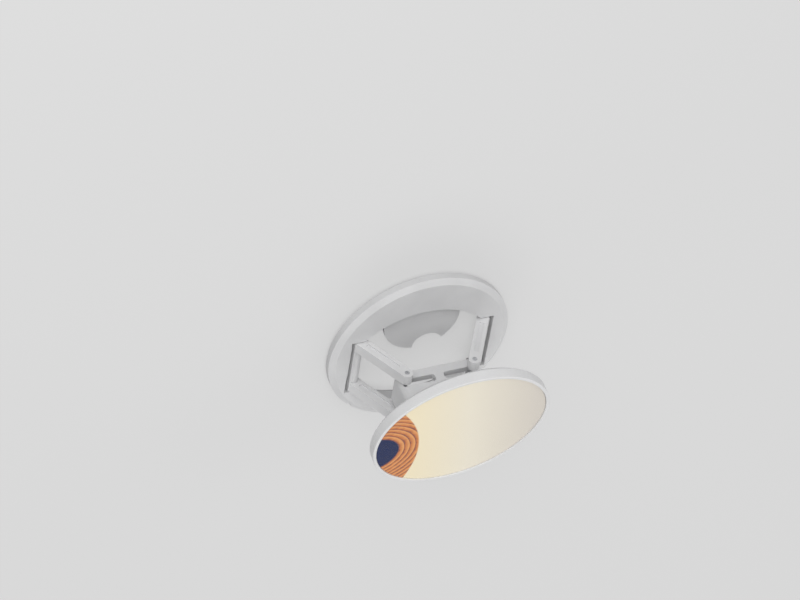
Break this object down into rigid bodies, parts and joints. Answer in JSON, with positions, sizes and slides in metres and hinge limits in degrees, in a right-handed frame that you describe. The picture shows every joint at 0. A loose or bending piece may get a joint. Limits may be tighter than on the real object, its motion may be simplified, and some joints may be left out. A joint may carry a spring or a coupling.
{
  "type": "phone grip",
  "caption": "Stick-on folding phone grip: ring base, two leaning arm frames, sliding hub and a tilting round top with a patterned insert.",
  "frame": {"origin": "centre of the adhesive face on the phone's back", "axes": "+Z away from the phone, +X along the phone's long side, +Y towards the phone's upper edge"},
  "size_m": [0.038, 0.038, 0.028],
  "materials": {
    "pad_foam": "matte",
    "base_plastic": "satin",
    "arm_plastic": "satin",
    "hub_plastic": "satin",
    "top_plastic": "satin",
    "pin_steel": "brushed",
    "washer_plastic": "matte",
    "film": "matte",
    "insert_metal": "satin",
    "print": "printed",
    "clear": "clear"
  },
  "bodies": {
    "base": {"adhesive_pad": "pad_foam", "base": "base_plastic", "hinge_pin_left": "pin_steel", "hinge_pin_right": "pin_steel"},
    "left arm": {"arm_left": "arm_plastic", "tip_pin_left": "pin_steel"},
    "right arm": {"arm_right": "arm_plastic", "tip_pin_right": "pin_steel"},
    "hub": {"hub": "hub_plastic", "tilt_pin_left": "pin_steel", "tilt_pin_right": "pin_steel", "washer_left": "washer_plastic", "washer_right": "washer_plastic"},
    "top": {"top_housing": "top_plastic", "insert_film": "film", "insert_plate": "insert_metal", "print_layer": "print", "clear_face": "clear"}
  },
  "joints": [
    {"name": "fold", "type": "slide", "parent": "base", "child": "hub", "axis": [0, 0, 1], "range_m": [-0.00755, 0]},
    {"name": "left_arm_hinge", "type": "hinge", "parent": "base", "child": "left arm", "pos_m": [-0.0132, 0, 0.00165], "axis": [0, -1, 0], "range_deg": [-46, 0]},
    {"name": "right_arm_hinge", "type": "hinge", "parent": "base", "child": "right arm", "pos_m": [0.0132, 0, 0.00165], "axis": [0, 1, 0], "range_deg": [-46, 0]},
    {"name": "top_tilt", "type": "hinge", "parent": "hub", "child": "top", "pos_m": [0, -0.00165, 0.0186], "axis": [1, 0, 0], "range_deg": [-10, 8]}
  ],
  "couplings": [
    {"joint": "left_arm_hinge", "follows": "fold", "rad_per_m": 106.31},
    {"joint": "right_arm_hinge", "follows": "fold", "rad_per_m": 106.31}
  ]
}
